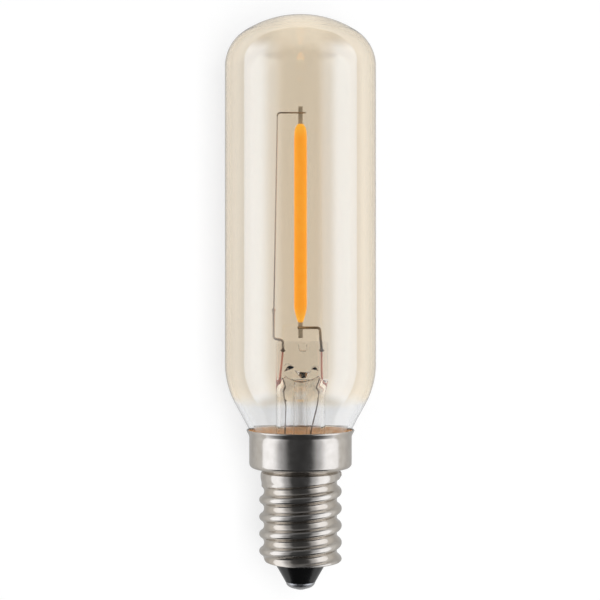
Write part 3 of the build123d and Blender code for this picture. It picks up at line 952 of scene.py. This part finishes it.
# Cap
shell = rings_mesh("shell", [shell_rings()], wrap=True)
put(shell, "cap_shell", nickel(), sharp=45.0)
nose = rings_mesh("nose", [lathe(nose_profile(), segments=96)])
put(nose, "cap_insulator", black_glass(), sharp=50.0)
contact_skin = plain("contact_metal", (0.34, 0.34, 0.35), (0.5, 0.5, 0.5), 900.0, (0.25, 0.4),
                     metallic=1.0, bump=0.1)
contact = rings_mesh("contact", [lathe(dish_profile(), segments=72)])
put(contact, "centre_contact", contact_skin, sharp=60.0)
solder_skin = plain("solder", (0.42, 0.42, 0.43), (0.6, 0.6, 0.6), 1200.0, (0.3, 0.45),
                    metallic=1.0, bump=0.3)
solder_drop = rings_mesh("solder_drop", [lathe(drop_profile(), segments=40)])
put(solder_drop, "contact_solder", solder_skin)
cement_ring = rings_mesh("cement_ring", [lathe(cement_profile(), segments=96)], wrap=True)
put(cement_ring, "basing_cement", cement(), sharp=40.0)

# Filament
phosphor_rings = lathe(phosphor_profile(), segments=40, centre=(0.0, filament_y))
phosphor_body = rings_mesh("phosphor_body", [phosphor_rings])
put(phosphor_body, "phosphor_coating", phosphor())
# Painted light: the terminals glow in a warm colour of their own, standing in for light that reaches them
# through the glass
terminal_skin = plain("terminal_steel", (0.6, 0.52, 0.4), (0.72, 0.64, 0.52), 1400.0, (0.4, 0.6),
                      metallic=0.2, bump=0.1,
                      Emission_Color=(0.62, 0.52, 0.38, 1.0), Emission_Strength=0.18)
for name, node in (("terminal_top", "upper_terminal"), ("terminal_bottom", "lower_terminal")):
    put(strip_mesh(name, node), node, terminal_skin, sharp=40.0)

# Wires
dark_wire = wire("dark_wire", (0.34, 0.24, 0.12), (0.46, 0.34, 0.2))
grey_wire = wire("grey_wire", (0.62, 0.54, 0.45), (0.74, 0.66, 0.57))
# Painted light: the seal wires glow in their own pink colour, standing in for light that reaches them
# through the glass
seal_skin = plain("seal_wire", (0.93, 0.4, 0.3), (1.0, 0.52, 0.42), 1800.0, (0.35, 0.5),
                  metallic=0.6, Emission_Color=(0.95, 0.4, 0.3, 1.0), Emission_Strength=0.2)
lead_skin = plain("lead_wire", (0.3, 0.25, 0.21), (0.45, 0.39, 0.34), 1500.0, (0.3, 0.5), metallic=0.8)

lead_path = rounded_path([(post.x, lead_y, lead_foot_z), (lead_top_x, lead_y, lead_top_z),
                          (lead_end_x, lead_y, lead_top_z)], support_bend)
put(rings_mesh("lead_top", [tube(lead_path, lead_r)]), "upper_lead_wire", grey_wire)

left_path = rounded_path([left_knot, left_knot + Vector((0.0, 0.0, step_rise)),
                          post + Vector((0.0, 0.0, post_foot_z)),
                          post + Vector((0.0, 0.0, post_top_z))], support_bend)
left_weld = bead((post.x, weld_y, weld_z), weld_r, weld_r)
left_ball = bead(left_knot, knot_half_width, knot_half_height)
support_left = rings_mesh("support_left", [tube(left_path, left_support_r), left_weld, left_ball])
put(support_left, "left_support_wire", grey_wire)

right_path = rounded_path([right_knot, (arm_x, 0.0, arm_z), (arm_end_x, 0.0, arm_z)], support_bend)
right_ball = bead(right_knot, knot_half_width, knot_half_height)
support_right = rings_mesh("support_right", [tube(right_path, right_support_r), right_ball])
put(support_right, "right_support_wire", dark_wire)

left_seal = tube(rounded_path(left_seal_route, seal_bend), seal_r)
put(rings_mesh("seal_left", [left_seal]), "left_seal_wire", seal_skin)
right_seal = tube(rounded_path(right_seal_route, seal_bend), seal_r)
put(rings_mesh("seal_right", [right_seal]), "right_seal_wire", seal_skin)

left_outer = tube(rounded_path(left_outer_route, left_outer_bend), outer_r)
left_joint = bead(joint_place, joint_half_width, joint_half_height)
put(rings_mesh("outer_left", [left_outer, left_joint]), "left_outer_lead", lead_skin)
right_outer = tube(rounded_path(right_outer_route, right_outer_bend), outer_r)
put(rings_mesh("outer_right", [right_outer]), "right_outer_lead", lead_skin)

# Pieces that keep the shape of the frame
package_skin = plain("package", (0.012, 0.012, 0.013), (0.035, 0.035, 0.037), 1500.0, (0.4, 0.65))
hidden_skins = {
    "filament_substrate": plain("ceramic_strip", (0.72, 0.70, 0.66), (0.86, 0.85, 0.82), 800.0, (0.4, 0.6)),
    "led_chips": plain("led_die", (0.55, 0.60, 0.66), (0.72, 0.76, 0.82), 2400.0, (0.1, 0.3)),
    "driver_board": plain("board", (0.02, 0.13, 0.05), (0.05, 0.24, 0.10), 500.0, (0.35, 0.55)),
    "bridge_rectifier": package_skin,
    "driver_chip": package_skin,
    "smoothing_capacitor": plain("capacitor_can", (0.5, 0.5, 0.52), (0.68, 0.68, 0.7), 600.0, (0.25, 0.4),
                                 metallic=1.0),
    "fuse_resistor": plain("resistor_coat", (0.30, 0.42, 0.5), (0.42, 0.55, 0.62), 700.0, (0.35, 0.5)),
    "live_lead": lead_skin,
    "neutral_lead": lead_skin,
}
for node, material in hidden_skins.items():
    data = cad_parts[node].data
    data.materials.clear()
    data.materials.append(material)

# Studio
scene = bpy.context.scene
scene.view_settings.view_transform = "Standard"
scene.cycles.max_bounces = light_bounces
scene.cycles.transmission_bounces = light_bounces


def studio_world():
    """Soft light from all sides, which the camera, mirrors and glass see as plain white."""
    world = bpy.data.worlds.new("studio")
    scene.world = world
    world.use_nodes = True
    nodes = world.node_tree.nodes
    links = world.node_tree.links
    ambient = nodes["Background"]
    ambient.inputs["Color"].default_value = ambient_colour
    ambient.inputs["Strength"].default_value = ambient_level
    white = nodes.new("ShaderNodeBackground")
    white.inputs["Color"].default_value = (1.0, 1.0, 1.0, 1.0)
    white.inputs["Strength"].default_value = 1.0
    ray = nodes.new("ShaderNodeLightPath")
    shown = ray.outputs["Is Camera Ray"]
    for name in ("Is Glossy Ray", "Is Transmission Ray"):
        either = nodes.new("ShaderNodeMath")
        either.operation = "MAXIMUM"
        links.new(shown, either.inputs[0])
        links.new(ray.outputs[name], either.inputs[1])
        shown = either.outputs["Value"]
    switch = nodes.new("ShaderNodeMixShader")
    links.new(shown, switch.inputs["Fac"])
    links.new(ambient.outputs["Background"], switch.inputs[1])
    links.new(white.outputs["Background"], switch.inputs[2])
    links.new(switch.outputs["Shader"], nodes["World Output"].inputs["Surface"])


def softbox(name, azimuth, distance, width, height, radiance, level):
    """An area lamp that faces the object; azimuth 0 is at the camera and grows to the right."""
    lamp = bpy.data.lights.new(name, "AREA")
    lamp.shape = "RECTANGLE"
    lamp.size = width
    lamp.size_y = height
    lamp.energy = radiance * math.pi * width * height
    box = bpy.data.objects.new(name, lamp)
    a = math.radians(azimuth)
    box.location = Vector((distance * math.sin(a), -distance * math.cos(a), level))
    facing = Vector((aim.x, aim.y, level)) - box.location
    box.rotation_euler = facing.to_track_quat("-Z", "Y").to_euler()
    box.visible_camera = False
    box.visible_glossy = False
    box.visible_transmission = False
    scene.collection.objects.link(box)


def surround():
    """The room that mirrors and glass see: a soft box on each side and a dark front."""
    mesh = rings_mesh("surround", [lathe(arc(0.0, room_mid_z, room_r, 90.0, -90.0, steps=24), segments=48)])
    mesh.flip_normals()
    paint = Shader("surround")
    turn = paint.math("ARCTAN2", paint.axis("X"), paint.math("MULTIPLY", paint.axis("Y"), -1.0))
    ramp = paint.nodes.new("ShaderNodeValToRGB")
    ramp.color_ramp.interpolation = "EASE"
    paint.links.new(paint.range(turn, -math.pi, math.pi), ramp.inputs["Fac"])
    stops = ramp.color_ramp.elements
    while len(stops) > 1:
        stops.remove(stops[-1])
    stops[0].position = 0.0
    for azimuth, level in room_levels:
        stop = stops[0] if azimuth == -180 else stops.new((azimuth + 180) / 360)
        share = level / room_strength
        stop.color = (share, share, share, 1.0)
    up = paint.step(paint.axis("Z"), ceiling_start, ceiling_end)
    down = paint.step(paint.axis("Z"), floor_end, floor_start, 1.0, 0.0)
    walls = paint.mix(down, paint.mix(up, ramp.outputs["Color"], ceiling_shade), floor_shade)
    tint = paint.nodes.new("ShaderNodeMix")
    tint.data_type = "RGBA"
    tint.blend_type = "MULTIPLY"
    tint.inputs["Factor"].default_value = 1.0
    paint.links.new(walls, tint.inputs[6])
    tint.inputs[7].default_value = room_tint
    glow = paint.nodes.new("ShaderNodeEmission")
    glow.inputs["Strength"].default_value = room_strength
    paint.links.new(tint.outputs[2], glow.inputs["Color"])
    paint.links.new(glow.outputs["Emission"], paint.nodes["Material Output"].inputs["Surface"])
    mesh.materials.append(paint.material)
    room = bpy.data.objects.new("surround", mesh)
    room.visible_camera = False
    room.visible_diffuse = False
    room.visible_shadow = False
    scene.collection.objects.link(room)


def backdrop():
    """A white wall behind the object that takes its shadow and isn't seen from behind; what mirrors and
    glass see of it also carries a painted shadow.
    """
    bm = bmesh.new()
    bmesh.ops.create_grid(bm, x_segments=4, y_segments=4, size=wall_half * MM)
    for v in bm.verts:
        v.co = Vector((v.co.x, wall_y * MM, v.co.y + aim.z))
    mesh = bpy.data.meshes.new("backdrop")
    bm.to_mesh(mesh)
    bm.free()
    if mesh.polygons[0].normal.y > 0.0:
        mesh.flip_normals()
    paint = Shader("backdrop")
    nodes = paint.nodes
    links = paint.links
    # Painted shadow: through the glass the wall is lighter in a middle column and low down, darker at the
    # sides; in mirrors it is darker near the lamp
    aside = paint.math("ABSOLUTE", paint.axis("X"), 0.0)
    column = paint.step(aside, column_start, column_end, 1.0, 0.0)
    low = paint.step(paint.axis("Z"), low_start, low_end, low_share, 0.0)
    behind = paint.range(paint.math("MAXIMUM", column, low), 0.0, 1.0, wall_side, wall_middle)
    foot = paint.range(paint.math("MULTIPLY", column, low), 0.0, 1.0, 0.0, wall_foot)
    ray = nodes.new("ShaderNodeLightPath")
    shades = {
        "Is Camera Ray": wall_seen,
        "Is Glossy Ray": paint.step(aside, mirror_start, mirror_end, wall_mirror_middle, wall_mirror_side),
        "Is Transmission Ray": paint.math("ADD", behind, foot),
    }
    level = 0.0
    for name, shade in shades.items():
        level = paint.math("ADD", paint.math("MULTIPLY", ray.outputs[name], shade), level)
    glow = nodes.new("ShaderNodeEmission")
    links.new(level, glow.inputs["Strength"])
    matt = nodes.new("ShaderNodeBsdfDiffuse")
    matt.inputs["Color"].default_value = wall_matt
    both = nodes.new("ShaderNodeAddShader")
    links.new(glow.outputs["Emission"], both.inputs[0])
    links.new(matt.outputs["BSDF"], both.inputs[1])
    clear = nodes.new("ShaderNodeBsdfTransparent")
    side = nodes.new("ShaderNodeNewGeometry")
    switch = nodes.new("ShaderNodeMixShader")
    links.new(side.outputs["Backfacing"], switch.inputs["Fac"])
    links.new(both.outputs["Shader"], switch.inputs[1])
    links.new(clear.outputs["BSDF"], switch.inputs[2])
    links.new(switch.outputs["Shader"], nodes["Material Output"].inputs["Surface"])
    mesh.materials.append(paint.material)
    wall = bpy.data.objects.new("backdrop", mesh)
    scene.collection.objects.link(wall)


def front_camera():
    """The camera, level and square to the lamp."""
    data = bpy.data.cameras.new("camera")
    data.lens = camera_lens
    data.sensor_width = camera_sensor
    camera = bpy.data.objects.new("camera", data)
    camera.location = camera_place
    camera.rotation_euler = (math.pi / 2.0, 0.0, 0.0)
    scene.collection.objects.link(camera)
    scene.camera = camera


studio_world()
softbox("lamp_key", azimuth=10.0, distance=0.45, width=0.13, height=0.3, radiance=9.8, level=0.03)
surround()
backdrop()
front_camera()
